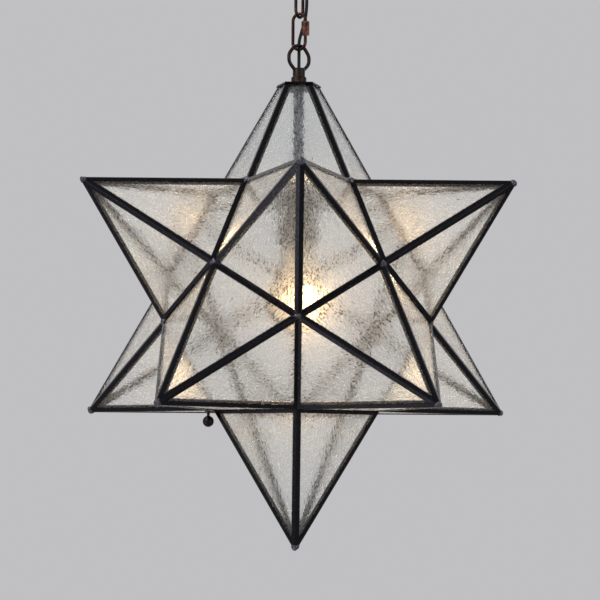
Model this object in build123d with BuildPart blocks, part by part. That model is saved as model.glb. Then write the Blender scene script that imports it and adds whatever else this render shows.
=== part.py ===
from build123d import *
import os
from math import atan, cos, degrees, radians, sin, sqrt, tan

os.makedirs("parts", exist_ok=True)

# A star lantern of clear glass panes in folded metal cames, hung on a chain.
# Millimetres. The ceiling is the plane z = 0, and the star hangs below it.
# Azimuth 0 faces the viewer, along -Y, and turns toward +X.

# ---------------------------------------------------------------- dimensions
# Star: a small stellated dodecahedron that stands on one point
tip_radius = 236.0         # star centre to each tip, along the pane planes
glass = 2.5                # thickness of a pane
glass_inset = 2.2          # pane edge back from the fold line

# Cames: folded H channels that hold two panes each
sheet = 0.65               # thickness of the metal
putty = 0.15               # room between the glass and the metal
convex_face = 4.2          # fold to lip, along the outside of the fold
concave_face = 3.4         # fold to lip, along the inside of the fold
web = 1.0                  # wall between the two panes
fold_radius = 1.1          # rounding of the outer fold
seam = 0.2                 # solder line where cames meet
bead_radius = 4.5          # solder bead on each tip
bead_rise = -0.4           # bead centre beyond the tip
tip_cut = 1.5              # cames are cut square this far beyond the tip
solder_gap = 0.1           # room under a soldered piece

# Top cap, and the screw loop that carries the star
cap_radius = 17.74         # corners of the cut across the top point
cap_sheet = 0.9
cap_lip = 1.9              # depth of the cap's outer edge
cap_tray = 5.8             # depth of the cap's inner wall, inside the panes
loop_wire = 3.5
loop_height = 28.2         # outer height of the ring
loop_width = 27.4          # outer width of the ring
loop_bend = 8.5            # bend radius of the ring's corners
loop_shoulder = 8.7        # height of the ring's upper shoulders
loop_hip = 7.8             # height of the ring's lower shoulders
loop_crown = 5.0           # half width of the ring's flat top, before its bends
loop_entry = 3.9           # where the ring's ends enter the barrel
loop_sink = 2.7            # ring's foot below the end of its barrel
barrel_radius = 5.95
barrel_height = 15.7
flange_radius = 7.4
flange_height = 7.3
flange_round = 1.2
thread_depth = 7.0         # how far a pipe screws into a barrel
star_loop_azimuth = 126.0  # the way the star's ring lies

# Threaded pipe, socket and lamp
pipe_radius = 4.8
pipe_bore = 3.7
pipe_length = 105.0
thread_gap = 0.1
locknut_flats = 14.0
locknut_height = 4.0
socket_radius = 18.0
socket_length = 44.0
socket_wall = 1.4
socket_roof = 8.0          # solid top of the socket's body
socket_lap = 4.0           # socket's body inside its cap
socket_cap_radius = 20.0
socket_cap_length = 16.0
socket_cap_rim = 6.4       # straight lower part of the cap
socket_neck = 8.8          # radius of the cap's top
screw_radius = 13.2        # screw shell of the lamp
screw_length = 24.0
lamp_radius = 30.0
lamp_length = 84.0         # glass of the lamp, below its screw shell
lamp_neck = 14.4           # radius of the glass where it meets the screw shell
lamp_shoulder = 38.0       # the globe's round starts at this angle above its middle
lamp_gap = 0.5
lamp_drop = 2.0            # lamp's glass below the socket
lamp_contact = 1.6         # height of the contact on the lamp's base
lamp_contact_radius = 3.4
lamp_chamfer = 3.0
shell_rise = 3.0           # socket's screw shell above its lower edge
shell_floor = 2.0
shell_round = 0.42         # lower edge of the socket's body

# Door: the bottom point, hinged on one edge of its opening
door_web = 2.0             # the two walls of the split came, and their gap
door_gap = 0.5
hinge_azimuth = 108.0
hinge_length = 38.0
knuckle_radius = 1.8
knuckle_gap = 0.4
neck_width = 2.2           # of the metal between a knuckle and its leaf
knuckles = 5
leaf = 0.7
leaf_width = 4.6
leaf_room = 0.25           # room between a leaf and the other leaf's knuckles
pin_radius = 0.8
pin_gap = 0.08
pin_head = 1.4
pin_head_height = 1.0
knob_radius = 5.3
knob_drop = 12.3           # knob centre below the rim of the opening
knob_reach = 6.6           # knob centre beyond the corner of the door
knob_stem_radius = 1.4
tab_sheet = 0.9
tab_width = 7.0
tab_gap = 0.4              # tab below the underside of the star

# Chain
link_wire = 3.1
link_length = 38.0
link_width = 16.8
link_count = 4
link_play = 0.3            # room between hooked wires
link_seam = 0.3            # where the ends of a link's wire meet
chain_azimuth = 60.0       # the way the lowest link lies
sleeve_length = 13.5       # hexagonal sleeve that closes the lowest link
sleeve_flats = 6.6
sleeve_drop = 9.6          # its upper end below the top of the link
sleeve_bite = 3.0          # wire inside each end of the sleeve
sleeve_gap = 0.1

# Cord, which runs beside the chain
cord_radius = 1.6
cord_side = 7.4            # cord from the chain's axis
cord_azimuth = 105.0       # the side of the chain it runs on
cord_aft = 4.9             # cord behind the axis, above the star's ring
cord_room = 0.6            # hole round the cord
cord_start = 7.5           # its upper end below the ceiling
cord_lap = 3.0             # its lower end above the socket's body
cord_clear = 1.0           # straight run below the canopy's barrel
cord_gather = 6.2          # starts beside the chain this far above the first hook
cord_behind_top = 9.3      # passes behind from here to cord_behind_foot,
cord_behind_foot = 0.62    # both above the foot of the lowest link
cord_return = 14.0         # back on the axis this far below the star's hook
cord_bend_share = 0.45     # of the shorter run beside a bend
cord_longest_bend = 60.0

# Canopy and its fixing
canopy_radius = 63.5
canopy_height = 25.0
canopy_sheet = 1.2
canopy_rim = 4.0           # upright edge against the ceiling
canopy_crown = 16.0        # radius of the flat round the centre hole
canopy_bend = 8.0
canopy_shoulder = 0.62     # height of the dome's shoulder, as a share of the canopy
canopy_rim_bend = 2.4
nut_radius = 10.5
nut_height = 6.0
nut_round = 1.8
crossbar_length = 100.0
crossbar_width = 19.0
crossbar_sheet = 1.8
screw_spacing = 70.0       # of the two holes for the ceiling box
screw_hole_radius = 2.4
ground_screw_x = 20.0      # from the middle of the crossbar
ground_screw_head = 3.6
ground_screw_height = 2.4
ground_screw_round = 0.96
pipe_setback = 0.3         # end of the canopy pipe below the crossbar's upper face

# ------------------------------------------------------------------ geometry
ring_elevation = degrees(atan(0.5))
inner_radius = tip_radius * sqrt(3) / tan(radians(72))
base_height = tip_radius / sqrt(5)
base_radius = sqrt(inner_radius**2 - base_height**2)
apothem = base_radius * cos(radians(36))
pane_slope = atan(apothem / (tip_radius - base_height))
point_taper = base_radius / (tip_radius - base_height)
cap_height = tip_radius - cap_radius / point_taper     # star centre to the cap
half_fold = atan((1 + sqrt(5)) / 2)                    # half the angle between two panes
came_inner = glass / 2 + putty
came_outer = came_inner + sheet

loop_reach = barrel_height - loop_sink + loop_height - loop_wire
hook = (loop_wire + link_wire) / 2 + link_play
link_span = link_length - link_wire
link_pitch = link_span - link_wire - link_play
canopy_seat = -canopy_height - nut_height
first_hook = canopy_seat - loop_reach
first_link_top = first_hook + hook
last_link_foot = first_link_top - link_span - (link_count - 1) * link_pitch
star_hook = last_link_foot + hook
star_z = star_hook - loop_reach - cap_height
rim_z = star_z - base_height
centre = Vector(0, 0, star_z)


def bearing(azimuth, elevation=0.0):
    """Unit direction at an azimuth and an elevation."""
    a, e = radians(azimuth), radians(elevation)
    return Vector(cos(e) * sin(a), -cos(e) * cos(a), sin(e))


def point_frame(axis, pole):
    """Frame of one point of the star: Z along the point, X through a corner of its base."""
    return Plane(origin=centre, x_dir=axis * axis.dot(pole) - pole, z_dir=axis)


def section_radius(height, outset):
    """Circumradius of a point's pentagon at a height, grown outward from the panes."""
    return (tip_radius + outset / sin(pane_slope) - height) * point_taper


up, down = Vector(0, 0, 1), Vector(0, 0, -1)
top_frame = Plane(origin=centre, x_dir=bearing(180), z_dir=up)
door_frame = Plane(origin=centre, x_dir=bearing(0), z_dir=down)
upper_frames = [point_frame(bearing(72 * i, ring_elevation), up) for i in range(5)]
lower_frames = [point_frame(bearing(72 * i + 36, -ring_elevation), down) for i in range(5)]

tip = Vector(0, 0, tip_radius)
corner_a = Vector(base_radius, 0, base_height)
corner_b = corner_a.rotate(Axis.Z, 72)


# ------------------------------------------------------------ panes and cames
def wedge(point, axis, toward, half_angle):
    """The two planes that bound a wedge about an axis, half a seam inside it."""
    flat = (toward - axis * toward.dot(axis)).normalized()
    side = axis.cross(flat)
    for hand in (-1, 1):
        normal = flat * sin(radians(half_angle)) + side * (hand * cos(radians(half_angle)))
        yield Plane(origin=point + normal * (seam / 2), z_dir=normal)


def came_section(wall):
    """Folded H section: +Y is the convex side of the fold, which is rounded."""
    lip = Vector(sin(half_fold), -cos(half_fold))
    out = Vector(cos(half_fold), sin(half_fold))
    shift = came_outer / tan(half_fold)

    def at_wall(offset):
        return lip * ((wall / 2 - offset * cos(half_fold)) / sin(half_fold)) + out * offset

    right = [
        lip * (convex_face - shift) + out * came_outer,
        lip * (convex_face - shift) + out * came_inner,
        at_wall(came_inner),
        at_wall(-came_inner),
        lip * (concave_face + shift) - out * came_inner,
        lip * (concave_face + shift) - out * came_outer,
    ]
    left = [Vector(-p.X, p.Y) for p in reversed(right)]
    fold = Vector(0, came_outer / sin(half_fold))
    with BuildSketch() as section:
        with BuildLine():
            Polyline(fold, *right, -fold, *left, close=True)
        make_face()
        fillet(section.vertices().sort_by(Axis.Y)[-1], fold_radius)
    return section.sketch


def pane_frame():
    """Plane of the pane between the tip and two corners of the base, facing out."""
    middle = (corner_a + corner_b) * 0.5
    across = (corner_b - corner_a).normalized()
    normal = across.cross((tip - middle).normalized())
    return Plane(origin=middle, x_dir=across, z_dir=normal)


with BuildPart() as pane:
    with BuildSketch(pane_frame()):
        with BuildLine():
            half_base = (corner_b - corner_a).length / 2
            rise = (tip - (corner_a + corner_b) * 0.5).length
            Polyline((-half_base, 0), (half_base, 0), (0, rise), close=True)
        make_face()
        offset(amount=-glass_inset, kind=Kind.INTERSECTION)
    extrude(amount=glass / 2, both=True)

ridge = (tip - corner_a).normalized()
ridge_length = (tip - corner_a).length
overrun = 12.0
with BuildPart() as ridge_came:
    with BuildSketch(Plane(origin=corner_a - ridge * overrun, x_dir=(0, -1, 0), z_dir=ridge)):
        add(came_section(web))
    extrude(amount=ridge_length + 2 * overrun)
    for side in wedge(corner_a, corner_a.normalized(), ridge, 30):
        split(bisect_by=side, keep=Keep.TOP)
    for side in wedge(tip, up, corner_a, 36):
        split(bisect_by=side, keep=Keep.TOP)
    split(bisect_by=Plane.XY.offset(tip_radius + tip_cut), keep=Keep.BOTTOM)

edge = (corner_b - corner_a).normalized()
edge_length = (corner_b - corner_a).length
edge_out = (corner_a + corner_b).normalized()
edge_frame = Plane(
    origin=corner_a - edge * overrun, x_dir=edge.cross(edge_out), z_dir=edge
)


def valley(wall):
    """A valley came: convex side inward, mitred at both corners of its edge."""
    with BuildPart() as piece:
        with BuildSketch(edge_frame):
            add(came_section(wall))
        extrude(amount=edge_length + 2 * overrun)
        for side in wedge(corner_a, corner_a.normalized(), edge, 30):
            split(bisect_by=side, keep=Keep.TOP)
        for side in wedge(corner_b, corner_b.normalized(), -edge, 30):
            split(bisect_by=side, keep=Keep.TOP)
    return piece


def half_valley(side):
    """Half a valley came, where the door parts from the star. Side 1 is the star's."""
    across = edge_frame.x_dir * side
    with BuildPart() as piece:
        add(valley(door_web).part)
        split(
            bisect_by=Plane(origin=corner_a + across * (door_gap / 2), z_dir=across),
            keep=Keep.TOP,
        )
    return piece


valley_came = valley(web)
rim_came = half_valley(1)
door_rim_came = half_valley(-1)

with BuildPart() as bead:
    with Locations((0, 0, tip_radius + bead_rise)):
        Sphere(bead_radius)
    for height in (tip_radius - 2 * bead_radius, tip_radius + tip_cut + solder_gap):
        with BuildSketch(Plane.XY.offset(height)):
            RegularPolygon(section_radius(height, came_outer + solder_gap), 5)
    loft(mode=Mode.SUBTRACT)


def placed(name, piece, places):
    """Copies of a piece in one node, each a solid of its own."""
    with BuildPart() as group:
        with Locations(*places):
            add(piece.part)
    group.part.label = name
    export_step(group.part, f"parts/{name}.step")


def turned(frame, *angles):
    """The frame turned about its own Z axis."""
    return [frame.location * Location((0, 0, 0), (0, 0, angle)) for angle in angles]


fifths = [72 * i for i in range(5)]
for i, frame in enumerate(upper_frames, start=1):
    placed(f"upper_point_{i}_glass", pane, turned(frame, *fifths))
    placed(f"upper_point_{i}_cames", ridge_came, turned(frame, *fifths))
for i, frame in enumerate(lower_frames, start=1):
    placed(f"lower_point_{i}_glass", pane, turned(frame, *fifths))
    placed(f"lower_point_{i}_cames", ridge_came, turned(frame, *fifths))
placed("door_glass", pane, turned(door_frame, *fifths))
placed("door_cames", ridge_came, turned(door_frame, *fifths))
placed("door_rim", door_rim_came, turned(door_frame, *fifths))
placed("door_tip_bead", bead, [door_frame])
placed("opening_rim", rim_came, turned(door_frame, *fifths))
placed("tip_beads", bead, upper_frames + lower_frames)
valleys_upper = turned(top_frame, *fifths) + [g for f in upper_frames for g in turned(f, 72)]
valleys_middle = [g for f in upper_frames for g in turned(f, 0, 288)]
valleys_lower = [g for f in lower_frames for g in turned(f, 72)]
placed("valley_cames_upper", valley_came, valleys_upper)
placed("valley_cames_middle", valley_came, valleys_middle)
placed("valley_cames_lower", valley_came, valleys_lower)

# The top point is cut off flat under the cap.
cap_under = cap_height - cap_sheet - solder_gap
for name, piece in (("top_point_glass", pane), ("top_point_cames", ridge_came)):
    with BuildPart() as cut_piece:
        add(piece.part)
        split(bisect_by=Plane.XY.offset(cap_under), keep=Keep.BOTTOM)
    placed(name, cut_piece, turned(top_frame, *fifths))

# ------------------------------------------------------------------- top cap
def cap_block(outset, high, low):
    """Five-sided block with the top point's taper, grown from its pane planes."""
    with BuildPart() as block:
        for height in (high, low):
            with BuildSketch(top_frame.offset(height)):
                RegularPolygon(section_radius(height, outset), 5)
        loft()
    return block.part


cap_inside = came_outer + solder_gap
cap_ceiling = cap_height - cap_sheet
with BuildPart() as top_cap:
    add(cap_block(cap_inside + cap_sheet, cap_height, cap_height - cap_lip))
    add(cap_block(cap_inside, cap_ceiling, cap_height - cap_lip), mode=Mode.SUBTRACT)
    add(cap_block(-cap_inside, cap_ceiling, cap_height - cap_tray))
    add(cap_block(-cap_inside - cap_sheet, cap_ceiling, cap_height - cap_tray), mode=Mode.SUBTRACT)
    with BuildSketch(top_frame.offset(cap_height)):
        Circle(pipe_radius + thread_gap)
    extrude(amount=-cap_sheet, mode=Mode.SUBTRACT)
top_cap.part.label = "top_cap"
export_step(top_cap.part, "parts/top_cap.step")


# ---------------------------------------------------------------- screw loop
def screw_loop(name, seat):
    """Barrel with a threaded foot, and an open ring whose ends enter its sides."""
    ring_half = (loop_width - loop_wire) / 2
    ring_foot = barrel_height - loop_sink
    ring_top = ring_foot + loop_height - loop_wire
    with BuildPart() as loop:
        with BuildSketch(seat):
            Circle(flange_radius)
        extrude(amount=flange_height)
        fillet(loop.edges().filter_by(GeomType.CIRCLE), flange_round)
        with BuildSketch(seat):
            Circle(barrel_radius)
        extrude(amount=barrel_height)
        section = Plane(origin=seat.origin, x_dir=seat.x_dir, z_dir=-seat.y_dir)
        with BuildLine(section) as ring:
            FilletPolyline(
                (loop_entry, ring_foot),
                (ring_half, ring_foot + loop_hip),
                (ring_half, ring_top - loop_shoulder),
                (loop_crown, ring_top),
                (-loop_crown, ring_top),
                (-ring_half, ring_top - loop_shoulder),
                (-ring_half, ring_foot + loop_hip),
                (-loop_entry, ring_foot),
                radius=loop_bend,
            )
        with BuildSketch(Plane(ring.line @ 0, z_dir=ring.line % 0)):
            Circle(loop_wire / 2)
        sweep()
        with BuildSketch(seat):
            Circle(pipe_radius + thread_gap)
        extrude(amount=thread_depth, mode=Mode.SUBTRACT)
        with BuildSketch(seat):
            Circle(cord_radius + cord_room)
        extrude(amount=barrel_height + loop_wire, mode=Mode.SUBTRACT)
    loop.part.label = name
    export_step(loop.part, f"parts/{name}.step")


star_seat = Plane(
    origin=(0, 0, star_z + cap_height), x_dir=bearing(star_loop_azimuth), z_dir=up
)
screw_loop("star_loop", star_seat)


# ------------------------------------------------- pipe, locknut, socket, lamp
def tube(name, top, length, bore):
    """Threaded pipe that hangs from its upper end."""
    with BuildPart() as pipe:
        with BuildSketch(Plane.XY.offset(top)):
            Circle(pipe_radius)
            Circle(bore, mode=Mode.SUBTRACT)
        extrude(amount=-length)
    pipe.part.label = name
    export_step(pipe.part, f"parts/{name}.step")


def locknut(name, top):
    """Hexagonal nut on the pipe, chamfered on both faces."""
    with BuildPart() as nut:
        with BuildSketch(Plane.XY.offset(top)):
            RegularPolygon(locknut_flats / 2, 6, major_radius=False)
            Circle(pipe_radius + thread_gap, mode=Mode.SUBTRACT)
        extrude(amount=-locknut_height)
    nut.part.label = name
    export_step(nut.part, f"parts/{name}.step")


pipe_top = star_z + cap_height + thread_depth - thread_gap
pipe_foot = pipe_top - pipe_length
tube("stem_pipe", pipe_top, pipe_length, pipe_bore)
locknut("cap_locknut", star_z + cap_height - cap_sheet - solder_gap)

socket_top = pipe_foot + locknut_height
socket_foot = socket_top - socket_cap_length - socket_length
shell_top = socket_top - socket_cap_length
shoulder_z = shell_top + socket_cap_rim
with BuildPart() as socket_cap:
    with BuildSketch(Plane.XZ):
        with BuildLine():
            Polyline(
                (pipe_radius + thread_gap, socket_top),
                (socket_neck, socket_top),
                (socket_cap_radius, shoulder_z),
                (socket_cap_radius, shell_top),
                (socket_cap_radius - socket_wall, shell_top),
                (socket_cap_radius - socket_wall, shoulder_z - socket_wall / 2),
                (socket_neck, socket_top - locknut_height),
                (pipe_radius + thread_gap, socket_top - locknut_height),
                close=True,
            )
        make_face()
    revolve(axis=Axis.Z)
socket_cap.part.label = "socket_cap"
export_step(socket_cap.part, "parts/socket_cap.step")

with BuildPart() as socket_shell:
    with BuildSketch(Plane.XY.offset(shell_top + socket_lap)):
        Circle(socket_radius)
    extrude(amount=-socket_length - socket_lap)
    with BuildSketch(Plane.XY.offset(socket_foot)):
        Circle(socket_radius - socket_wall)
    extrude(amount=socket_length + socket_lap - socket_roof, mode=Mode.SUBTRACT)
    with BuildSketch(Plane.XY.offset(shell_top + socket_lap)):
        Circle(cord_radius + cord_room)
    extrude(amount=-socket_roof, mode=Mode.SUBTRACT)
    fillet(socket_shell.edges().group_by(Axis.Z)[0], shell_round)
socket_shell.part.label = "socket_shell"
export_step(socket_shell.part, "parts/socket_shell.step")

shell_foot = socket_foot + shell_rise
shell_radius = socket_radius - socket_wall - thread_gap
with BuildPart() as socket_screw:
    with BuildSketch(Plane.XY.offset(shell_foot)):
        Circle(shell_radius)
        Circle(screw_radius + lamp_gap, mode=Mode.SUBTRACT)
    extrude(amount=screw_length)
    with BuildSketch(Plane.XY.offset(shell_foot + screw_length)):
        Circle(shell_radius)
    extrude(amount=shell_floor)
socket_screw.part.label = "socket_screw_shell"
export_step(socket_screw.part, "parts/socket_screw_shell.step")

lamp_seat = socket_foot - lamp_drop
lamp_top = shell_foot + screw_length - lamp_contact - lamp_gap
with BuildPart() as lamp_base:
    with BuildSketch(Plane.XZ):
        with BuildLine():
            Polyline(
                (0, lamp_top + lamp_contact),
                (lamp_contact_radius, lamp_top + lamp_contact),
                (lamp_contact_radius + lamp_contact, lamp_top),
                (screw_radius - lamp_chamfer, lamp_top),
                (screw_radius, lamp_top - lamp_chamfer),
                (screw_radius, lamp_seat),
                (0, lamp_seat),
                close=True,
            )
        make_face()
    revolve(axis=Axis.Z)
lamp_base.part.label = "lamp_base"
export_step(lamp_base.part, "parts/lamp_base.step")

globe_z = lamp_seat - lamp_length + lamp_radius
glass_top = lamp_seat - solder_gap
with BuildPart() as lamp_globe:
    with BuildSketch(Plane.XZ):
        with BuildLine():
            rim = (lamp_neck, glass_top)
            top, low = radians(lamp_shoulder), radians(-lamp_shoulder)
            shoulder = (lamp_radius * cos(top), globe_z + lamp_radius * sin(top))
            Line((0, glass_top), rim)
            Spline(rim, shoulder, tangents=((0, -1), (sin(top), -cos(top))))
            ThreePointArc(
                shoulder,
                (lamp_radius * cos(low), globe_z + lamp_radius * sin(low)),
                (0, globe_z - lamp_radius),
            )
            Line((0, globe_z - lamp_radius), (0, glass_top))
        make_face()
    revolve(axis=Axis.Z)
lamp_globe.part.label = "lamp_globe"
export_step(lamp_globe.part, "parts/lamp_globe.step")

# ---------------------------------------------------------------- door hinge
# The pin lies in the corner between the star's underside and the door's pane,
# as far from both as a knuckle, its room and a leaf.
hinge_stack = knuckle_radius + leaf_room + leaf + solder_gap
hinge_out = bearing(hinge_azimuth)
corner_depth = (came_outer + hinge_stack) / sin(half_fold)
hinge_x = apothem + corner_depth * cos(half_fold)
hinge_z = rim_z - corner_depth * sin(half_fold)
hinge_axis = hinge_out.cross(up)
hinge_frame = Plane(
    origin=hinge_out * hinge_x + up * hinge_z, x_dir=hinge_out, z_dir=hinge_axis
)
knuckle_pitch = hinge_length / knuckles
door_down = Vector(-sin(pane_slope), -cos(pane_slope))
door_out = Vector(cos(pane_slope), -sin(pane_slope))


def hinge_leaf(name, seat, along, own, reach):
    """Leaf at its seat, knuckles on the pin, and a neck from each knuckle to the leaf."""
    near = knuckle_radius + leaf_room
    neck_half = neck_width / 2
    with BuildPart() as part:
        start = hinge_frame.offset(-hinge_length / 2)
        with BuildSketch(start):
            with BuildLine():
                Polyline(
                    seat * near - along * neck_half,
                    seat * near + along * reach,
                    seat * (near + leaf) + along * reach,
                    seat * (near + leaf) - along * neck_half,
                    close=True,
                )
            make_face()
        extrude(amount=hinge_length)
        for i in own:
            with BuildSketch(start.offset(i * knuckle_pitch + knuckle_gap / 2)):
                Circle(knuckle_radius)
                with BuildLine():
                    Polyline(
                        -along * neck_half,
                        along * neck_half,
                        seat * (near + leaf / 2) + along * neck_half,
                        seat * (near + leaf / 2) - along * neck_half,
                        close=True,
                    )
                make_face()
            extrude(amount=knuckle_pitch - knuckle_gap)
        with BuildSketch(start):
            Circle(pin_radius + pin_gap)
        extrude(amount=hinge_length, mode=Mode.SUBTRACT)
    part.part.label = name
    export_step(part.part, f"parts/{name}.step")


hinge_leaf("hinge_leaf_star", Vector(0, 1), Vector(1, 0), range(0, knuckles, 2), leaf_width)
hinge_leaf("hinge_leaf_door", -door_out, door_down, range(1, knuckles, 2), leaf_width)

with BuildPart() as hinge_pin:
    with BuildSketch(hinge_frame.offset(-hinge_length / 2 - leaf)):
        Circle(pin_radius)
    extrude(amount=hinge_length + 2 * leaf)
    for end in (-hinge_length / 2 - leaf - pin_head_height, hinge_length / 2 + leaf):
        with BuildSketch(hinge_frame.offset(end)):
            Circle(pin_head)
        extrude(amount=pin_head_height)
hinge_pin.part.label = "hinge_pin"
export_step(hinge_pin.part, "parts/hinge_pin.step")

# ----------------------------------------------------------------- door knob
# A ball pull under a tab that is soldered to the corner opposite the hinge.
knob_out = bearing(hinge_azimuth + 180)
knob_x = base_radius + knob_reach
tab_top = rim_z - came_outer - tab_gap
with BuildPart() as door_knob:
    with BuildSketch(Plane(origin=up * tab_top, x_dir=knob_out, z_dir=up)):
        with Locations((knob_x - knob_reach, 0)):
            Rectangle(2 * knob_reach, tab_width)
        with Locations((knob_x, 0)):
            Circle(tab_width / 2)
    extrude(amount=-tab_sheet)
    with BuildSketch(Plane(origin=knob_out * knob_x + up * tab_top, z_dir=down)):
        Circle(knob_stem_radius)
    extrude(amount=knob_drop - came_outer)
    with Locations(knob_out * knob_x + up * (rim_z - knob_drop)):
        Sphere(knob_radius)
    for height in (base_height - came_outer, base_height + 4 * knob_radius):
        with BuildSketch(door_frame.offset(height)):
            RegularPolygon(section_radius(height, came_outer + solder_gap), 5)
    loft(mode=Mode.SUBTRACT)
door_knob.part.label = "door_knob"
export_step(door_knob.part, "parts/door_knob.step")

# --------------------------------------------------------------------- chain
sleeve_z = link_length / 2 - sleeve_drop - sleeve_length / 2      # above the link's middle


def placed_pair(first, second):
    """Two pieces in one node."""
    with BuildPart() as pair:
        add(first.part)
        add(second.part)
    return pair


for i in range(link_count):
    top_z = first_link_top - i * link_pitch
    facing = chain_azimuth + 90 * (link_count - 1 - i)
    half_width = (link_width - link_wire) / 2
    side_length = link_span - 2 * half_width
    link_plane = Plane(
        origin=(0, 0, top_z - link_span / 2), x_dir=bearing(facing), z_dir=bearing(facing - 90)
    )
    with BuildPart() as link:
        with BuildLine(link_plane) as oval:
            right = Line((half_width, -side_length / 2), (half_width, side_length / 2))
            JernArc(right @ 1, right % 1, half_width, 180)
            left = Line((-half_width, side_length / 2), (-half_width, -side_length / 2))
            JernArc(left @ 1, left % 1, half_width, 180)
        with BuildSketch(Plane(oval.line @ 0, z_dir=oval.line % 0)):
            Circle(link_wire / 2)
        sweep()
        # Most links close with a butt seam. A screwed sleeve closes the lowest one.
        sleeved = i == link_count - 1
        seam_z = sleeve_z if sleeved else 0
        opening = sleeve_length - 2 * sleeve_bite if sleeved else link_seam
        with Locations(link_plane.location):
            with Locations((half_width, seam_z, 0)):
                Box(2 * link_wire, opening, 2 * link_wire, mode=Mode.SUBTRACT)
    if sleeved:
        with BuildPart() as sleeve:
            frame = Plane(
                origin=link_plane.from_local_coords((half_width, sleeve_z - sleeve_length / 2, 0)),
                x_dir=link_plane.z_dir,
                z_dir=up,
            )
            with BuildSketch(frame):
                RegularPolygon(sleeve_flats / 2, 6, major_radius=False)
            extrude(amount=sleeve_length)
            with BuildSketch(frame):
                Circle(link_wire / 2 + sleeve_gap)
            extrude(amount=sleeve_length, mode=Mode.SUBTRACT)
        link = placed_pair(link, sleeve)
    link.part.label = f"chain_link_{i + 1}"
    export_step(link.part, f"parts/chain_link_{i + 1}.step")

# ---------------------------------------------------------------------- cord
# From the canopy pipe, out of the ring, beside the chain, behind the lowest
# link, through the star's ring and down the stem to the socket.
cord_beside = bearing(cord_azimuth) * cord_side
cord_behind = bearing(180) * cord_aft
cord_top = -cord_start
cord_end = shell_top + cord_lap
barrel_end = canopy_seat - barrel_height
cord_route = [
    Vector(0, 0, cord_top),
    Vector(0, 0, barrel_end - cord_clear),
    cord_beside + up * (first_hook + cord_gather),
    cord_beside + up * (last_link_foot + link_span),
    cord_behind + up * (last_link_foot + cord_behind_top),
    cord_behind + up * (last_link_foot + cord_behind_foot),
    Vector(0, 0, star_hook - cord_return),
    Vector(0, 0, cord_end),
]


def bend_radii(route):
    """Radius of each bend: as large as the two runs beside it allow."""
    radii = []
    for before, corner, after in zip(route, route[1:], route[2:]):
        run_in, run_out = corner - before, after - corner
        turn = radians(run_in.get_angle(run_out))
        radii.append(cord_bend_share * min(run_in.length, run_out.length) / tan(turn / 2))
    return radii


cord_radii = [min(radius, cord_longest_bend) for radius in bend_radii(cord_route)]
print("cord bend radii", [round(radius, 1) for radius in cord_radii])
with BuildPart() as cord:
    with BuildLine() as run:
        FilletPolyline(*cord_route, radius=cord_radii)
    with BuildSketch(Plane(run.line @ 0, z_dir=run.line % 0)):
        Circle(cord_radius)
    sweep()

# One span hangs from the middle of each link to the middle of the next.
link_middles = [first_link_top - link_span / 2 - i * link_pitch for i in range(link_count)]
span_ends = [cord_top, *link_middles, cord_end]
for i, (high, low) in enumerate(zip(span_ends, span_ends[1:]), start=1):
    with BuildPart() as span:
        add(cord.part)
        if i > 1:
            split(bisect_by=Plane.XY.offset(high), keep=Keep.BOTTOM)
        if i <= link_count:
            split(bisect_by=Plane.XY.offset(low), keep=Keep.TOP)
    span.part.label = f"cord_span_{i}"
    export_step(span.part, f"parts/cord_span_{i}.step")

# -------------------------------------------------------- canopy and its fixing
canopy_pipe_top = -pipe_setback
canopy_pipe_foot = canopy_seat - thread_depth + thread_gap
tube("canopy_pipe", canopy_pipe_top, canopy_pipe_top - canopy_pipe_foot, pipe_bore)
locknut("crossbar_locknut", -crossbar_sheet - solder_gap)
screw_loop(
    "canopy_loop",
    Plane(origin=(0, 0, canopy_seat), x_dir=bearing(chain_azimuth), z_dir=down),
)

with BuildPart() as canopy:
    with BuildSketch(Plane.XZ):
        with BuildLine():
            outside = FilletPolyline(
                (canopy_radius, 0),
                (canopy_radius, -canopy_rim),
                (canopy_radius - canopy_bend, -canopy_height * canopy_shoulder),
                (canopy_crown, -canopy_height),
                (pipe_radius + thread_gap, -canopy_height),
                radius=[canopy_rim_bend, canopy_bend, canopy_bend],
            )
            inside = FilletPolyline(
                (pipe_radius + thread_gap, -canopy_height + canopy_sheet),
                (canopy_crown, -canopy_height + canopy_sheet),
                (
                    canopy_radius - canopy_bend - canopy_sheet,
                    (canopy_sheet - canopy_height) * canopy_shoulder,
                ),
                (canopy_radius - canopy_sheet, -canopy_rim),
                (canopy_radius - canopy_sheet, 0),
                radius=[canopy_bend, canopy_bend, canopy_rim_bend],
            )
            Line(outside @ 1, inside @ 0)
            Line(inside @ 1, outside @ 0)
        make_face()
    revolve(axis=Axis.Z)
canopy.part.label = "canopy"
export_step(canopy.part, "parts/canopy.step")

with BuildPart() as canopy_nut:
    with BuildSketch(Plane.XY.offset(-canopy_height)):
        Circle(nut_radius)
        Circle(pipe_radius + thread_gap, mode=Mode.SUBTRACT)
    extrude(amount=-nut_height)
    fillet(canopy_nut.edges().group_by(Axis.Z)[0].sort_by(SortBy.RADIUS)[-1], nut_round)
canopy_nut.part.label = "canopy_nut"
export_step(canopy_nut.part, "parts/canopy_nut.step")

with BuildPart() as crossbar:
    with BuildSketch(Plane.XY):
        SlotOverall(crossbar_length, crossbar_width)
        Circle(pipe_radius + thread_gap, mode=Mode.SUBTRACT)
        with GridLocations(screw_spacing, 0, 2, 1):
            Circle(screw_hole_radius, mode=Mode.SUBTRACT)
    extrude(amount=-crossbar_sheet)
crossbar.part.label = "crossbar"
export_step(crossbar.part, "parts/crossbar.step")

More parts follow.
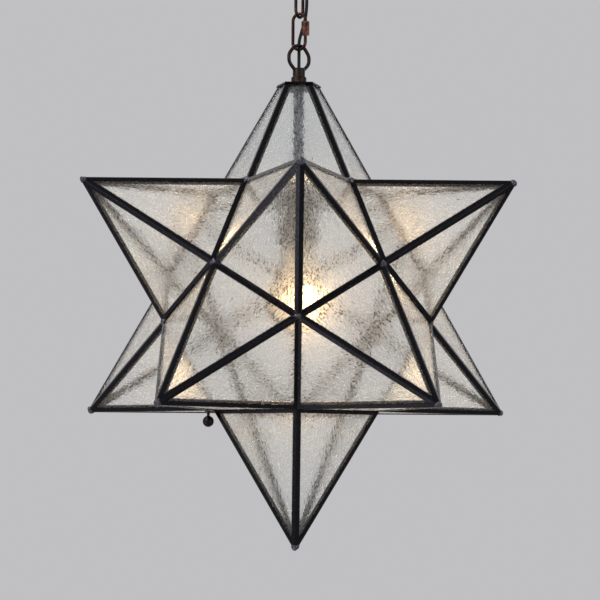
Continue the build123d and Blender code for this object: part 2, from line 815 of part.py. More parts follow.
with BuildPart() as ground_screw:
    with BuildSketch(Plane.XY.offset(-crossbar_sheet)):
        with Locations((ground_screw_x, 0)):
            Circle(ground_screw_head)
    extrude(amount=-ground_screw_height)
    fillet(ground_screw.edges().group_by(Axis.Z)[0], ground_screw_round)
ground_screw.part.label = "ground_screw"
export_step(ground_screw.part, "parts/ground_screw.step")

print("star centre z", round(star_z, 3), "rim z", round(rim_z, 3))
print("star hook z", round(star_hook, 3), "link feet from", round(first_link_top - link_span, 3))
print("hinge axis", round(hinge_x, 3), round(hinge_z, 3), "first hook", round(first_hook, 3))
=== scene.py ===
import bpy, bmesh
from math import acos, asin, atan, cos, degrees, radians, sin, sqrt, tan, tau
from mathutils import Matrix, Vector


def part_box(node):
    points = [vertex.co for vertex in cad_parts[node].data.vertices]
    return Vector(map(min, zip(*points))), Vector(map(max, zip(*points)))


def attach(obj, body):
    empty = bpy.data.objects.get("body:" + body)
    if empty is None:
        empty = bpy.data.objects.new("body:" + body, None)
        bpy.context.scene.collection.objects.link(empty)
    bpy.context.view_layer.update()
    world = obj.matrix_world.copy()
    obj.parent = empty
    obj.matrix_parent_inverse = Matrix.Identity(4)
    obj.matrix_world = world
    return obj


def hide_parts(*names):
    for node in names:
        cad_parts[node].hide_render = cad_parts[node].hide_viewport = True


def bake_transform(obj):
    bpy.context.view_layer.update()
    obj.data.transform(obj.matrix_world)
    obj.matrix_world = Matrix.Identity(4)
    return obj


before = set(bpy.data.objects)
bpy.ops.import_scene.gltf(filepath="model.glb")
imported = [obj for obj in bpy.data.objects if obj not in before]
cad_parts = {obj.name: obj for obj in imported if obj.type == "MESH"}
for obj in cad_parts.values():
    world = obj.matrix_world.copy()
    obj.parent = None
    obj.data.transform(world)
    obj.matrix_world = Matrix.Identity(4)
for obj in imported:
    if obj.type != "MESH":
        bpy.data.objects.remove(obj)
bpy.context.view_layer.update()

# ------------------------------------------------------------------ viewpoint
# A long lens from the front, a little lower than the middle of the star and
# tipped up to it. The star hangs turned and leaned by about half a degree.
star_centre = Vector((0, 0, -0.435896))
tip_reach = 0.236
star_turn, star_lean = radians(0.58), radians(0.43)
camera_seat = tip_reach * Vector((0.0116, -9.464, -0.7262))
camera_tip = radians(90 + 4.372)
lens = bpy.data.cameras.new("long_lens")
lens.lens, lens.sensor_width = 140.6, 36
camera = bpy.data.objects.new("long_lens", lens)
bpy.context.collection.objects.link(camera)
camera.matrix_world = (
    Matrix.Translation(star_centre)
    @ Matrix.Rotation(-star_turn, 4, "Z")
    @ Matrix.Translation(camera_seat)
    @ Matrix.Rotation(camera_tip, 4, "X")
    @ Matrix.Rotation(star_lean, 4, "Z")
)
bpy.context.scene.camera = camera
bpy.context.scene.view_settings.view_transform = "Standard"


# ----------------------------------------------------------------------- cord
# Two-core lamp cord in a black PVC sheath, 3.2 mm thick. It comes out of the
# canopy's ring, runs beside the chain, passes behind the lowest link and
# through the star's ring, and goes down the stem to the socket.
cord_thickness = 0.0032
cord_points = [Vector(p) / 1000 for p in (
    (0, 0, -7.5), (0, 0, -31.15), (0, 0, -47.7), (7.148, 1.915, -62.5),
    (7.148, 1.915, -79.05), (7.148, 1.915, -132.85), (7.148, 1.915, -159.6),
    (2.32, 3.93, -176.89), (0, 4.9, -185.2),
    (0, 4.9, -193.88), (0, 0, -204.9), (0, 0, -216.96), (0, 0, -335.7),
)]
link_middles = [-0.08255, -0.11405, -0.14555, -0.17705]
link_hooks = [-0.0687, -0.1, -0.1315, -0.163, -0.1945]


def srgb(code, alpha=1):
    """The linear colour of an sRGB hex value."""
    parts = [int(code[i:i + 2], 16) / 255 for i in (0, 2, 4)]
    return [c / 12.92 if c <= 0.04045 else ((c + 0.055) / 1.055) ** 2.4 for c in parts] + [alpha]


def add(tree, kind, inputs=None, **settings):
    """Adds a node. Each input is a value, or another node's output to link."""
    made = tree.nodes.new(kind)
    for name, value in settings.items():
        setattr(made, name, value)
    for key, value in (inputs or {}).items():
        if isinstance(value, bpy.types.NodeSocket):
            tree.links.new(value, made.inputs[key])
        else:
            made.inputs[key].default_value = value
    return made


def ramp(tree, value, *stops):
    """A colour ramp over a value. Each stop is a hex colour and its position."""
    made = add(tree, "ShaderNodeValToRGB", {"Fac": value})
    elements = made.color_ramp.elements
    for i, (code, position) in enumerate(stops):
        element = elements[i] if i < 2 else elements.new(position)
        element.color, element.position = srgb(code), position
    return made.outputs["Color"]


def bump(tree, height, distance, strength, under=None):
    """Relief as a normal. Under is the coarser relief that it lies on."""
    inputs = {"Height": height, "Distance": distance, "Strength": strength}
    if under:
        inputs["Normal"] = under
    return add(tree, "ShaderNodeBump", inputs).outputs["Normal"]


def new_material(name):
    """An empty material and its node tree."""
    material = bpy.data.materials.new(name)
    material.use_nodes = True
    material.node_tree.nodes.clear()
    return material, material.node_tree


def show(tree, shader):
    """Makes a shader the surface of its material."""
    add(tree, "ShaderNodeOutputMaterial", {"Surface": shader.outputs[0]})


# Soft PVC, extruded: black, a dull sheen, faint waves from the cores inside.
cord_sheath, tree = new_material("extruded_black_pvc")
where = add(tree, "ShaderNodeTexCoord").outputs["Object"]
waves = add(tree, "ShaderNodeTexNoise", {"Vector": where, "Scale": 260.0, "Detail": 3.0})
dust = add(tree, "ShaderNodeTexNoise", {"Vector": where, "Scale": 900.0, "Detail": 2.0})
tone = ramp(tree, dust.outputs["Fac"], ("0c0b0c", 0), ("1a191a", 1))
relief = bump(tree, waves.outputs["Fac"], 0.0003, 0.4)
show(tree, add(tree, "ShaderNodeBsdfPrincipled", {
    "Base Color": tone, "Roughness": 0.52, "Specular IOR Level": 0.25, "Normal": relief,
}))


def link_piece(name, data):
    """Puts new geometry in the scene."""
    piece = bpy.data.objects.new(name, data)
    bpy.context.collection.objects.link(piece)
    return piece


def tube_mesh(name, line, radius, sides=14):
    """A round tube along the points of a line, closed at both ends."""
    mesh = bmesh.new()
    rings, across = [], None
    around = [tau * k / sides for k in range(sides)]
    for i, point in enumerate(line):
        ahead = (line[min(i + 1, len(line) - 1)] - line[max(i - 1, 0)]).normalized()
        side = across - ahead * across.dot(ahead) if across else ahead.orthogonal()
        across = side.normalized()
        other = ahead.cross(across)
        rings.append([
            mesh.verts.new(point + radius * (cos(a) * across + sin(a) * other)) for a in around
        ])
    for low, high in zip(rings, rings[1:]):
        for k in range(sides):
            mesh.faces.new((low[k], low[(k + 1) % sides], high[(k + 1) % sides], high[k]))
    mesh.faces.new(rings[0][::-1])
    mesh.faces.new(rings[-1])
    data = bpy.data.meshes.new(name)
    mesh.to_mesh(data)
    mesh.free()
    data.shade_smooth()
    return data


curve = bpy.data.curves.new("cord_line", "CURVE")
curve.dimensions = "3D"
spline = curve.splines.new("NURBS")
spline.points.add(len(cord_points) - 1)
for point, place in zip(spline.points, cord_points):
    point.co = (*place, 1)
spline.order_u, spline.use_endpoint_u = 3, True
spline.resolution_u = 16
route = link_piece("cord_line", curve)
line_mesh = bpy.data.meshes.new_from_object(route)
cord_line = [v.co.copy() for v in line_mesh.vertices]
bpy.data.objects.remove(route)


def level(line, height):
    """The point of a falling line at a height."""
    for high, low in zip(line, line[1:]):
        if high.z >= height > low.z:
            return high.lerp(low, (high.z - height) / (high.z - low.z))


# The cord is cut into five spans at the middles of the links, each passing one hook.
ends = [cord_line[0].z, *link_middles, cord_line[-1].z]
for i, hook in enumerate(link_hooks):
    run = [p for p in cord_line if ends[i] > p.z > ends[i + 1]]
    first = level(cord_line, ends[i]) if i else cord_line[0]
    last = level(cord_line, ends[i + 1]) if i < 4 else cord_line[-1]
    run = [first, *run, last]
    piece = link_piece(f"cord_{i + 1}", tube_mesh(f"cord_{i + 1}", run, cord_thickness / 2))
    piece.data.materials.append(cord_sheath)
    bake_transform(piece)
    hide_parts(f"cord_span_{i + 1}")


# --------------------------------------------------------- canopy and fixing
# A spun steel canopy with a bronze finish, on a zinc-plated crossbar. A knurled
# nut on the threaded pipe clamps the canopy to the ceiling.
def dress(material, *nodes):
    """Gives CAD nodes a material."""
    for name in nodes:
        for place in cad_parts[name].material_slots:
            place.material = material


def oiled_bronze(name, dark, rubbed, wear, roughness, grain=320.0, painted_lit_patch=None):
    """Oil-rubbed bronze: brown metal under a dark brushed-on finish that wears away in patches.

    The last argument, if given, is a place painted lighter as a painted highlight: a side, a middle
    height and a half height, and how much lighter it is painted there.
    """
    material, tree = new_material(name)
    where = add(tree, "ShaderNodeTexCoord").outputs["Object"]
    patches = add(tree, "ShaderNodeTexNoise", {
        "Vector": where, "Scale": grain, "Detail": 6.0, "Roughness": 0.62,
    })
    fine = add(tree, "ShaderNodeTexNoise", {"Vector": where, "Scale": grain * 5, "Detail": 3.0})
    wear_and_painted_highlight = patches.outputs["Fac"]
    # The given place is painted lighter on top of the patches: a painted highlight.
    if painted_lit_patch:
        side, middle, half, lit_lift = painted_lit_patch
        place = add(tree, "ShaderNodeSeparateXYZ", {"Vector": where}).outputs
        beside = add(tree, "ShaderNodeMath", {0: place["X"], 1: side}, operation="GREATER_THAN")
        within = add(tree, "ShaderNodeMath", {0: place["Z"], 1: middle, 2: half},
                     operation="COMPARE")
        lit_here = add(tree, "ShaderNodeMath", {0: beside.outputs[0], 1: within.outputs[0]},
                   operation="MULTIPLY")
        wear_and_painted_highlight = add(tree, "ShaderNodeMath", {0: lit_here.outputs[0], 1: lit_lift, 2: wear_and_painted_highlight},
                   operation="MULTIPLY_ADD").outputs[0]
    tone = ramp(tree, wear_and_painted_highlight, (dark, 0.62 - wear), (rubbed, 0.78 - wear))
    gloss = add(tree, "ShaderNodeMapRange", {
        "Value": patches.outputs["Fac"], "To Min": roughness + 0.1, "To Max": roughness - 0.08,
    })
    relief = bump(tree, fine.outputs["Fac"], 0.0002, 0.35)
    show(tree, add(tree, "ShaderNodeBsdfPrincipled", {
        "Base Color": tone, "Metallic": 0.85,
        "Roughness": gloss.outputs["Result"], "Normal": relief,
    }))
    return material


canopy_bronze = oiled_bronze("spun_steel_oiled_bronze", "2b211c", "5a4335", 0.02, 0.42, 90.0)
dress(canopy_bronze, "canopy", "canopy_nut")
loop_bronze = oiled_bronze("loop_oiled_bronze", "2a201d", "7c5847", 0.03, 0.32)
dress(loop_bronze, "canopy_loop")


def grow(piece, tree, sockets, values):
    """Runs Geometry Nodes on a piece, and keeps the mesh that they make."""
    work = piece.modifiers.new("grow", "NODES")
    work.node_group = tree
    for socket, value in zip(sockets, values):
        work[socket.identifier] = value
    graph = bpy.context.evaluated_depsgraph_get()
    baked = bpy.data.meshes.new_from_object(piece.evaluated_get(graph))
    piece.modifiers.remove(work)
    piece.data = baked


# The nut is knurled with straight ribs, so that fingers can turn it.
rib_count, rib_radius = 44, 0.00045
nut_low, nut_high = (Vector(corner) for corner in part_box("canopy_nut"))
nut_shoulder = 0.0020
tree = bpy.data.node_groups.new("knurled_ribs", "GeometryNodeTree")
plug = tree.interface.new_socket
rib_sockets = [
    plug(label, in_out="INPUT", socket_type=f"NodeSocket{kind}")
    for label, kind in (("Rib count", "Int"), ("Nut radius", "Float"), ("Rib radius", "Float"),
                        ("Rib length", "Float"), ("Middle height", "Float"))
]
plug("Ribs", in_out="OUTPUT", socket_type="NodeSocketGeometry")
entry = add(tree, "NodeGroupInput").outputs
ring = add(tree, "GeometryNodeMeshCircle", {
    "Vertices": entry["Rib count"], "Radius": entry["Nut radius"],
})
rib = add(tree, "GeometryNodeMeshCylinder", {
    "Vertices": 8, "Radius": entry["Rib radius"], "Depth": entry["Rib length"],
})
ribs = add(tree, "GeometryNodeInstanceOnPoints", {
    "Points": ring.outputs["Mesh"], "Instance": rib.outputs["Mesh"],
})
lift = add(tree, "ShaderNodeCombineXYZ", {"Z": entry["Middle height"]})
raised = add(tree, "GeometryNodeTransform", {
    "Geometry": ribs.outputs[0], "Translation": lift.outputs[0],
})
real = add(tree, "GeometryNodeRealizeInstances", {"Geometry": raised.outputs[0]})
coat = add(tree, "GeometryNodeSetMaterial", {
    "Geometry": real.outputs[0], "Material": canopy_bronze,
})
add(tree, "NodeGroupOutput", {"Ribs": coat.outputs[0]})
knurl = link_piece("canopy_nut_knurl", bpy.data.meshes.new("canopy_nut_knurl"))
rib_length = nut_high.z - nut_low.z - nut_shoulder
rib_middle = nut_high.z - rib_length / 2
grow(knurl, tree, rib_sockets, (rib_count, nut_high.x, rib_radius, rib_length, rib_middle))
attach(knurl, "canopy")

# Zinc plate: bluish grey crystals, a little clouded.
zinc_plate, tree = new_material("zinc_plated_steel")
where = add(tree, "ShaderNodeTexCoord").outputs["Object"]
crystals = add(tree, "ShaderNodeTexVoronoi", {"Vector": where, "Scale": 240.0})
tone = ramp(tree, crystals.outputs["Distance"], ("8d9298", 0), ("565b62", 1))
threads = add(tree, "ShaderNodeTexNoise", {"Vector": where, "Scale": 500.0, "Detail": 3.0})
relief = bump(tree, threads.outputs["Fac"], 0.0004, 0.6)
show(tree, add(tree, "ShaderNodeBsdfPrincipled", {
    "Base Color": tone, "Metallic": 1.0, "Roughness": 0.38, "Normal": relief,
}))
dress(zinc_plate, "crossbar", "crossbar_locknut", "canopy_pipe")

# The ground screw is steel with a green lacquer.
green_lacquer, tree = new_material("green_lacquered_steel")
where = add(tree, "ShaderNodeTexCoord").outputs["Object"]
chips = add(tree, "ShaderNodeTexNoise", {"Vector": where, "Scale": 1400.0, "Detail": 4.0})
tone = ramp(tree, chips.outputs["Fac"], ("1d6b38", 0.66), ("98a09a", 0.74))
show(tree, add(tree, "ShaderNodeBsdfPrincipled", {
    "Base Color": tone, "Metallic": 0.4, "Roughness": 0.32,
}))
dress(green_lacquer, "ground_screw")


# ---------------------------------------------------------------------- chain
# Four links of 3.1 mm steel wire, bent to an oval. Three are closed by a butt
# seam, the lowest by a screwed six-sided sleeve. The sleeve is painted lighter,
# a painted highlight where its facet catches the light.
# Where the sleeve is and how much lighter it is painted: a painted highlight.
sleeve_side, sleeve_middle, sleeve_half, sleeve_painted_highlight = 0.0035, -0.17475, 0.0068, 0.16
chain_bronze = oiled_bronze("drawn_wire_oiled_bronze", "2c1c19", "7a4d41", 0.07, 0.34, 210.0)
dress(chain_bronze, *[f"chain_link_{i}" for i in range(1, 4)])
quick_link_bronze = oiled_bronze(
    "quick_link_oiled_bronze", "2c1c19", "8a5a4b", 0.07, 0.34, 210.0,
    (sleeve_side, sleeve_middle, sleeve_half, sleeve_painted_highlight),
)
dress(quick_link_bronze, "chain_link_4")


# ---------------------------------------------------------- star loop and cap
# A ring of bent wire in a threaded barrel screws down on the cap, a five-sided
# tray of sheet metal soldered over the cut-off top point.
dress(loop_bronze, "star_loop")


def patina_solder(name, dark, light, bright, roughness, lump):
    """Tin solder under black patina: satin, lumpy, with specks where bare tin shows."""
    material, tree = new_material(name)
    where = add(tree, "ShaderNodeTexCoord").outputs["Object"]
    lumps = add(tree, "ShaderNodeTexNoise", {"Vector": where, "Scale": 130.0, "Detail": 3.0})
    grain = add(tree, "ShaderNodeTexNoise", {
        "Vector": where, "Scale": 900.0, "Detail": 4.0, "Roughness": 0.7,
    })
    grain_share = 0.22
    both = add(tree, "ShaderNodeMath", {
        0: grain.outputs["Fac"], 1: grain_share, 2: lumps.outputs["Fac"],
    }, operation="MULTIPLY_ADD")
    tone = ramp(tree, grain.outputs["Fac"], (dark, 0.35), (light, 0.62),
                ("8a8890", 0.62 + 0.3 * (1 - bright)))
    gloss = add(tree, "ShaderNodeMapRange", {
        "Value": lumps.outputs["Fac"], "To Min": roughness - 0.06, "To Max": roughness + 0.08,
    })
    relief = bump(tree, both.outputs[0], lump, 0.8)
    show(tree, add(tree, "ShaderNodeBsdfPrincipled", {
        "Base Color": tone, "Metallic": 1.0,
        "Roughness": gloss.outputs["Result"], "Normal": relief,
    }))
    return material


came_patina = patina_solder("black_patina_on_zinc", "1a191c", "242327", 0.2, 0.25, 0.0002)
bead_patina = patina_solder("black_patina_on_solder", "2e2c31", "66636c", 0.6, 0.27, 0.0006)
dress(zinc_plate, "cap_locknut")

# The cap is black outside. Its tray underneath keeps the bare grey of the solder.
cap_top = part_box("top_cap")[1][2]
sheet_depth, edge_fade = 0.0022, 0.0008
cap_coat, tree = new_material("black_patina_over_bare_solder")
where = add(tree, "ShaderNodeTexCoord").outputs["Object"]
height = add(tree, "ShaderNodeSeparateXYZ", {"Vector": where}).outputs["Z"]
below = add(tree, "ShaderNodeMapRange", {
    "Value": height,
    "From Min": cap_top - sheet_depth, "From Max": cap_top - sheet_depth - edge_fade,
}).outputs["Result"]
specks = add(tree, "ShaderNodeTexNoise", {
    "Vector": where, "Scale": 420.0, "Detail": 3.0,
}).outputs["Fac"]
bare = ramp(tree, specks, ("33353b", 0.42), ("8b8e96", 0.62))
tone = add(tree, "ShaderNodeMix", {
    "Factor": below, 6: srgb("1c1a1d"), 7: bare,
}, data_type="RGBA").outputs[2]
relief = bump(tree, specks, 0.0003, 0.6)
show(tree, add(tree, "ShaderNodeBsdfPrincipled", {
    "Base Color": tone, "Metallic": 1.0, "Roughness": 0.36, "Normal": relief,
}))
dress(cap_coat, "top_cap")

# The threaded stem is galvanised: dull and mottled, with dark streaks down it.
stem_zinc, tree = new_material("hot_dip_galvanised_pipe")
where = add(tree, "ShaderNodeTexCoord").outputs["Object"]
drawn = add(tree, "ShaderNodeMapping", {
    "Vector": where, "Scale": (1.0, 1.0, 0.3),
}).outputs["Vector"]
streaks = add(tree, "ShaderNodeTexNoise", {
    "Vector": drawn, "Scale": 330.0, "Detail": 3.0, "Roughness": 0.7,
}).outputs["Fac"]
tone = ramp(tree, streaks, ("121317", 0.46), ("8e929c", 0.60))
relief = bump(tree, streaks, 0.0005, 0.7)
show(tree, add(tree, "ShaderNodeBsdfPrincipled", {
    "Base Color": tone, "Metallic": 1.0, "Roughness": 0.42, "Normal": relief,
}))
dress(stem_zinc, "stem_pipe")


# ---------------------------------------------------------------------- cames
# Folded zinc cames hold the panes along every ridge and valley. Black patina
# leaves them nearly black, with a cool light along the fold.
points = ["top_point", *[f"{ring}_point_{i}" for ring in ("upper", "lower") for i in range(1, 6)]]
dress(came_patina, *[f"{point}_cames" for point in points])
dress(came_patina, "valley_cames_upper", "valley_cames_middle", "valley_cames_lower", "opening_rim")


# -------------------------------------------------------------- solder joints
# Where three ridges and three valleys meet, the cames are joined by a drop of
# tin solder. Another drop closes each tip. They are dabbed on by hand, so no two
# are alike.
def solder_drops(name, spots, radius, lumps, seed):
    """Uneven drops of solder on the points of a mesh, made with Geometry Nodes."""
    tree = bpy.data.node_groups.new(name, "GeometryNodeTree")
    plug = tree.interface.new_socket
    plug("Spots", in_out="INPUT", socket_type="NodeSocketGeometry")
    sizes = [
        plug(label, in_out="INPUT", socket_type="NodeSocketFloat")
        for label in ("Drop radius", "Lump height")
    ]
    plug("Drops", in_out="OUTPUT", socket_type="NodeSocketGeometry")
    entry = add(tree, "NodeGroupInput").outputs
    ball = add(tree, "GeometryNodeMeshIcoSphere", {
        "Radius": entry["Drop radius"], "Subdivisions": 4,
    })
    turned = add(tree, "FunctionNodeRandomValue", {
        0: (0, 0, 0), 1: (tau, tau, tau), "Seed": seed,
    }, data_type="FLOAT_VECTOR")
    grown = add(tree, "FunctionNodeRandomValue", {
        0: (0.8, 0.8, 0.8), 1: (1.1, 1.1, 1.1), "Seed": seed + 1,
    }, data_type="FLOAT_VECTOR")
    drops = add(tree, "GeometryNodeInstanceOnPoints", {
        "Points": entry["Spots"], "Instance": ball.outputs["Mesh"],
        "Rotation": turned.outputs[0], "Scale": grown.outputs[0],
    })
    real = add(tree, "GeometryNodeRealizeInstances", {"Geometry": drops.outputs[0]})
    place = add(tree, "GeometryNodeInputPosition").outputs[0]
    bumps = add(tree, "ShaderNodeTexNoise", {"Vector": place, "Scale": 240.0, "Detail": 1.0})
    lift = add(tree, "ShaderNodeMath", {0: bumps.outputs["Fac"], 1: 0.5}, operation="SUBTRACT")
    lift = add(tree, "ShaderNodeMath", {0: lift.outputs[0], 1: entry["Lump height"]},
               operation="MULTIPLY")
    outward = add(tree, "GeometryNodeInputNormal").outputs[0]
    push = add(tree, "ShaderNodeVectorMath", {0: outward, "Scale": lift.outputs[0]},
               operation="SCALE")
    uneven = add(tree, "GeometryNodeSetPosition", {
        "Geometry": real.outputs[0], "Offset": push.outputs[0],
    })
    smooth = add(tree, "GeometryNodeSetShadeSmooth", {0: uneven.outputs[0]})
    coat = add(tree, "GeometryNodeSetMaterial", {
        "Geometry": smooth.outputs[0], "Material": bead_patina,
    })
    add(tree, "NodeGroupOutput", {"Drops": coat.outputs[0]})

    data = bpy.data.meshes.new(name)
    data.from_pydata([tuple(spot) for spot in spots], [], [])
    drop_piece = link_piece(name, data)
    grow(drop_piece, tree, sizes, (radius, lumps))
    return drop_piece


def bearing(azimuth, elevation):
    """Direction at an azimuth from the front and an elevation, in degrees."""
    a, e = radians(azimuth), radians(elevation)
    return Vector((cos(e) * sin(a), -cos(e) * cos(a), sin(e)))


ring_elevation = degrees(atan(0.5))
corner_reach = tip_reach * sqrt(3) / tan(radians(72))
corner_steep = degrees(asin(tip_reach / sqrt(5) / corner_reach))
corner_shallow = corner_steep - degrees(acos(sqrt(5) / 3))
corners = [star_centre + corner_reach * bearing(36 + 72 * i, corner_steep) for i in range(5)]
corners += [star_centre + corner_reach * bearing(36 + 72 * i, corner_shallow) for i in range(5)]
corners += [star_centre + corner_reach * bearing(72 * i, -corner_shallow) for i in range(5)]
joint_radius, joint_lumps = 0.0042, 0.0032
joints = solder_drops("corner_solder", corners, joint_radius, joint_lumps, 3)
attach(joints, "star")

drop_sink = 0.0008
drop_reach = tip_reach - drop_sink
tips = [star_centre + drop_reach * bearing(72 * i, ring_elevation) for i in range(5)]
tips += [star_centre + drop_reach * bearing(72 * i + 36, -ring_elevation) for i in range(5)]
cap_radius, cap_lumps = 0.0036, 0.0026
caps = solder_drops("tip_solder", tips, cap_radius, cap_lumps, 11)
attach(caps, "star")
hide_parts("tip_beads")


# ---------------------------------------------------------------------- panes
# Clear rolled glass, 2.5 mm, with slow waves and small stretched bubbles. What
# lies behind it breaks up into short thin strokes that run along each point.
# They are drawn 1.5 mm wide, which is as fine as the render shows.
hair_width, hair_length = 0.0015, 0.015
wave_length = 0.028
seed_spacing = 0.011


def rolled_glass(name, axis):
    """Rolled glass whose strokes run along an axis."""
    material, tree = new_material(name)
    turn = Vector((0, 0, 1)).rotation_difference(axis).to_euler()
    where = add(tree, "ShaderNodeTexCoord").outputs["Object"]
    along = add(tree, "ShaderNodeMapping", {
        "Vector": where, "Location": star_centre, "Rotation": turn,
        "Scale": (1, 1, hair_length / hair_width),
    }, vector_type="TEXTURE").outputs["Vector"]
    hairs = add(tree, "ShaderNodeTexNoise", {
        "Vector": along, "Scale": 1 / hair_width, "Detail": 0.0,
    }).outputs["Fac"]
    waves = add(tree, "ShaderNodeTexNoise", {
        "Vector": where, "Scale": 1 / wave_length, "Detail": 2.0,
    }).outputs["Fac"]
    seeds = add(tree, "ShaderNodeTexVoronoi", {
        "Vector": along, "Scale": 1 / seed_spacing,
    }).outputs["Distance"]
    bubbles = add(tree, "ShaderNodeMapRange", {
        "Value": seeds, "From Min": 0.05, "From Max": 0.12, "To Min": 1.0, "To Max": 0.0,
    }).outputs["Result"]
    patch = add(tree, "ShaderNodeMapRange", {
        "Value": waves, "From Min": 0.38, "From Max": 0.62, "To Min": 0.55, "To Max": 1.15,
    }).outputs["Result"]
    rough = add(tree, "ShaderNodeMath", {0: hairs, 1: patch}, operation="MULTIPLY").outputs[0]
    slow = bump(tree, waves, 0.0004, 1.0)
    fine = bump(tree, rough, 0.00013, 1.0, slow)
    relief = bump(tree, bubbles, 0.0002, 1.0, fine)
    clear, soft = (
        add(tree, "ShaderNodeBsdfPrincipled", {
            "Base Color": srgb(colour), "Roughness": roughness, "IOR": 1.5,
            "Transmission Weight": 1.0, "Normal": relief,
        }).outputs[0]
        for colour, roughness in (("fefffe", 0.0), ("ffffff", 0.3))
    )
    film = add(tree, "ShaderNodeBsdfTranslucent", {"Color": srgb("f6f4f0")}).outputs[0]
    # The real strokes come from refraction, too fine for the render to resolve.
    # Stroke-shaped patches of duller glass stand in for them.
    dull = add(tree, "ShaderNodeMapRange", {
        "Value": hairs, "From Min": 0.49, "From Max": 0.58, "To Min": 0.05, "To Max": 0.6,
    }).outputs["Result"]
    body = add(tree, "ShaderNodeMixShader", {0: dull, 1: clear, 2: soft}).outputs[0]
    film_share = 0.045
    hazed = add(tree, "ShaderNodeMixShader", {0: film_share, 1: body, 2: film}).outputs[0]
    # Shadow rays pass the panes, so that the lamp and the lights shine through.
    through = add(tree, "ShaderNodeBsdfTransparent", {"Color": srgb("f8f9f8")}).outputs[0]
    ray = add(tree, "ShaderNodeLightPath").outputs["Is Shadow Ray"]
    show(tree, add(tree, "ShaderNodeMixShader", {0: ray, 1: hazed, 2: through}))
    return material


dress(rolled_glass("rolled_glass_top", bearing(0, 90)), "top_point_glass")
for i in range(5):
    axes = {
        "upper": bearing(72 * i, ring_elevation), "lower": bearing(72 * i + 36, -ring_elevation),
    }
    for row, axis in axes.items():
        dress(rolled_glass(f"rolled_glass_{row}_{i + 1}", axis), f"{row}_point_{i + 1}_glass")


# ----------------------------------------------------------------------- door
# The bottom point swings down on a small butt hinge, so that the lamp can be
# changed. A ball pull is soldered under its left corner.
dress(came_patina, "door_cames", "door_rim", "hinge_leaf_star", "hinge_leaf_door", "hinge_pin")
door_cap_radius = 0.0040
door_tip = star_centre + drop_reach * bearing(0, -90)
door_cap = solder_drops("door_tip_solder", [door_tip], door_cap_radius, cap_lumps, 29)
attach(door_cap, "door")
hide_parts("door_tip_bead")
dress(rolled_glass("rolled_glass_door", bearing(0, -90)), "door_glass")
pull_bronze = oiled_bronze("turned_ball_oiled_bronze", "231b1a", "4a3630", 0.02, 0.24)
dress(pull_bronze, "door_knob")


# ------------------------------------------------------------ socket and lamp
# A phenolic socket under a metal cap hangs on the threaded pipe. The lamp is a
# clear globe with four glowing filament sticks. What holds them isn't made.
socket_black, tree = new_material("moulded_black_phenolic")
where = add(tree, "ShaderNodeTexCoord").outputs["Object"]
cloud = add(tree, "ShaderNodeTexNoise", {"Vector": where, "Scale": 180.0, "Detail": 4.0})
tone = ramp(tree, cloud.outputs["Fac"], ("141313", 0), ("262423", 1))
show(tree, add(tree, "ShaderNodeBsdfPrincipled", {"Base Color": tone, "Roughness": 0.35}))
dress(socket_black, "socket_shell")
dress(loop_bronze, "socket_cap")

bright_aluminium, tree = new_material("pressed_aluminium")
where = add(tree, "ShaderNodeTexCoord").outputs["Object"]
turns = add(tree, "ShaderNodeTexWave", {
    "Vector": where, "Scale": 48.0, "Distortion": 0.2,
}, bands_direction="Z")
relief = bump(tree, turns.outputs["Fac"], 0.0006, 0.7)
show(tree, add(tree, "ShaderNodeBsdfPrincipled", {
    "Base Color": srgb("c9c9c6"), "Metallic": 1.0, "Roughness": 0.28, "Normal": relief,
}))
dress(bright_aluminium, "socket_screw_shell", "lamp_base")

lamp_clear, tree = new_material("blown_lamp_glass")
where = add(tree, "ShaderNodeTexCoord").outputs["Object"]
draw = add(tree, "ShaderNodeTexNoise", {"Vector": where, "Scale": 60.0})
relief = bump(tree, draw.outputs["Fac"], 0.0002, 0.4)
fresnel = add(tree, "ShaderNodeFresnel", {"IOR": 1.25, "Normal": relief}).outputs[0]
sheen = add(tree, "ShaderNodeBsdfGlossy", {"Roughness": 0.03, "Normal": relief}).outputs[0]
open_glass = add(tree, "ShaderNodeBsdfTransparent", {"Color": srgb("fffaf2")}).outputs[0]
show(tree, add(tree, "ShaderNodeMixShader", {0: fresnel, 1: open_glass, 2: sheen}))

lamp_low, lamp_high = (Vector(corner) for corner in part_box("lamp_globe"))
globe_radius = (lamp_high.x - lamp_low.x) / 2
globe_middle = lamp_low.z + globe_radius
neck_radius, bulb_wall = 0.0144, 0.0007
outline = [
    (globe_radius * cos(radians(a)), globe_middle + globe_radius * sin(radians(a)))
    for a in range(-90, 39, 8)
]
outline += [
    (globe_radius * 0.70, globe_middle + globe_radius * 0.78),
    (globe_radius * 0.58, globe_middle + globe_radius * 1.02),
    (neck_radius + 0.0006, globe_middle + globe_radius * 1.35),
    (neck_radius, lamp_high.z),
]
outline[0] = (0, lamp_low.z)
profile = bmesh.new()
rim = [profile.verts.new((r, 0, z)) for r, z in outline]
for a, b in zip(rim, rim[1:]):
    profile.edges.new((a, b))
bmesh.ops.spin(profile, geom=profile.edges[:] + profile.verts[:], cent=(0, 0, 0), axis=(0, 0, 1),
               angle=tau, steps=64, use_duplicate=False)
bmesh.ops.remove_doubles(profile, verts=profile.verts, dist=1e-6)
bmesh.ops.recalc_face_normals(profile, faces=profile.faces)
data = bpy.data.meshes.new("lamp_glass")
profile.to_mesh(data)
profile.free()
data.shade_smooth()
lamp_glass = link_piece("lamp_glass", data)
lamp_glass.data.materials.append(lamp_clear)
wall = lamp_glass.modifiers.new("wall", "SOLIDIFY")
wall.thickness, wall.offset = bulb_wall, -1
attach(lamp_glass, "star")
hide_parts("lamp_globe")

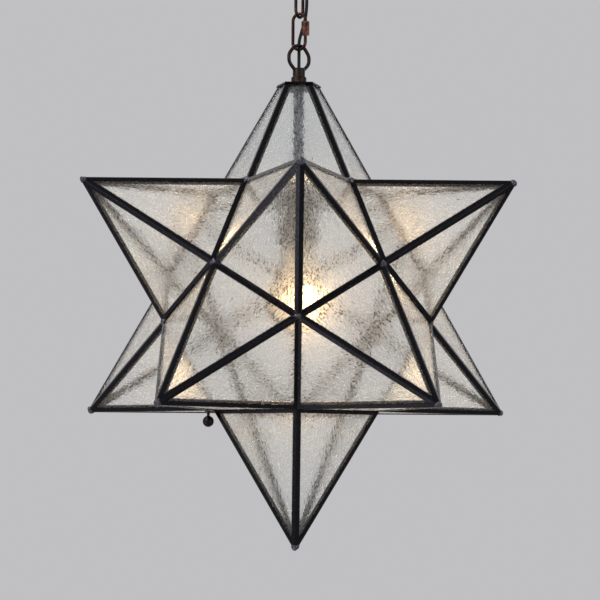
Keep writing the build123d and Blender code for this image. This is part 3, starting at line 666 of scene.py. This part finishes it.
# The sticks glow warm white. They lean together upwards, and stand a little to
# the right.
stick_length, stick_radius, stick_turn = 0.030, 0.0012, 0.6
low_right, high_right = 0.008, 0.006
low_spread, high_spread = 0.010, 0.006
glow, tree = new_material("glowing_filament")
show(tree, add(tree, "ShaderNodeEmission", {"Color": srgb("ffdfb2"), "Strength": 300.0}))
sticks = bmesh.new()
for k in range(4):
    azimuth = tau * k / 4 + stick_turn
    spread = Vector((cos(azimuth), sin(azimuth), 0))
    low = Vector((low_right, 0, globe_middle - stick_length / 2)) + spread * low_spread
    high = Vector((high_right, 0, globe_middle + stick_length / 2)) + spread * high_spread
    part = tube_mesh("stick", [low, low.lerp(high, 0.5), high], stick_radius, 8)
    sticks.from_mesh(part)
    bpy.data.meshes.remove(part)
data = bpy.data.meshes.new("lamp_filaments")
sticks.to_mesh(data)
sticks.free()
filaments = link_piece("lamp_filaments", data)
filaments.data.materials.append(glow)
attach(filaments, "star")


# -------------------------------------------------------------- floor, lights
# A pale floor far below, and soft light from three sides.
def any_ray(tree, *kinds):
    """1 for a ray of any of these kinds, else 0."""
    paths = add(tree, "ShaderNodeLightPath").outputs
    found = paths[kinds[0]]
    for kind in kinds[1:]:
        found = add(tree, "ShaderNodeMath", {0: found, 1: paths[kind]},
                    operation="MAXIMUM").outputs[0]
    return found


floor_height = -2.4
floor_mesh = bmesh.new()
bmesh.ops.create_grid(floor_mesh, x_segments=1, y_segments=1, size=30)
bmesh.ops.translate(floor_mesh, verts=floor_mesh.verts, vec=(0, 0, floor_height))
data = bpy.data.meshes.new("floor")
floor_mesh.to_mesh(data)
floor_mesh.free()
floor = link_piece("floor", data)
pale_floor, tree = new_material("pale_floor")
seen = any_ray(tree, "Is Camera Ray", "Is Glossy Ray", "Is Transmission Ray")
matte = add(tree, "ShaderNodeBsdfDiffuse", {"Color": srgb("c6c6c8")}).outputs[0]
plain = add(tree, "ShaderNodeEmission", {"Color": srgb("c0c0c2"), "Strength": 1.0}).outputs[0]
half = add(tree, "ShaderNodeMixShader", {0: 0.6, 1: matte, 2: plain}).outputs[0]
lit = add(tree, "ShaderNodeMixShader", {0: seen, 1: matte, 2: half}).outputs[0]
under = add(tree, "ShaderNodeBsdfTransparent").outputs[0]
back = add(tree, "ShaderNodeNewGeometry").outputs["Backfacing"]
show(tree, add(tree, "ShaderNodeMixShader", {0: back, 1: lit, 2: under}))
floor.data.materials.append(pale_floor)

world = bpy.data.worlds.new("studio")
bpy.context.scene.world = world
world.use_nodes = True
world.node_tree.nodes.clear()
tree = world.node_tree
seen = any_ray(tree, "Is Camera Ray", "Is Transmission Ray", "Is Glossy Ray")
wall_tone = add(tree, "ShaderNodeBackground", {"Color": srgb("c0c0c2"), "Strength": 1.0}).outputs[0]
fill_tone = add(tree, "ShaderNodeBackground", {
    "Color": srgb("dfe2e6"), "Strength": 0.55,
}).outputs[0]
mixed = add(tree, "ShaderNodeMixShader", {0: seen, 1: fill_tone, 2: wall_tone})
add(tree, "ShaderNodeOutputWorld", {"Surface": mixed.outputs[0]})

for name, place, size, power in (
    ("key", (-2.3, -2.2, 1.3), 3.2, 66),
    ("fill", (2.6, -1.8, -0.4), 2.4, 20),
    ("back", (-0.3, 1.5, 2.3), 2.2, 34),
    ("low", (-1.8, -0.84, -1.78), 0.8, 8),
):
    lamp = bpy.data.lights.new(name, "AREA")
    lamp.shape, lamp.size, lamp.energy = "DISK", size, power
    holder = link_piece(name, lamp)
    holder.location = place
    holder.visible_transmission = False
    holder.rotation_euler = (star_centre - Vector(place)).to_track_quat("-Z", "Y").to_euler()

# The low light is for the metal alone: in the panes it would only glare.
metal = bpy.data.collections.new("metal")
for name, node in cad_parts.items():
    if not name.endswith("_glass"):
        metal.objects.link(node)
for piece in (joints, caps, door_cap):
    metal.objects.link(piece)
holder.light_linking.receiver_collection = metal
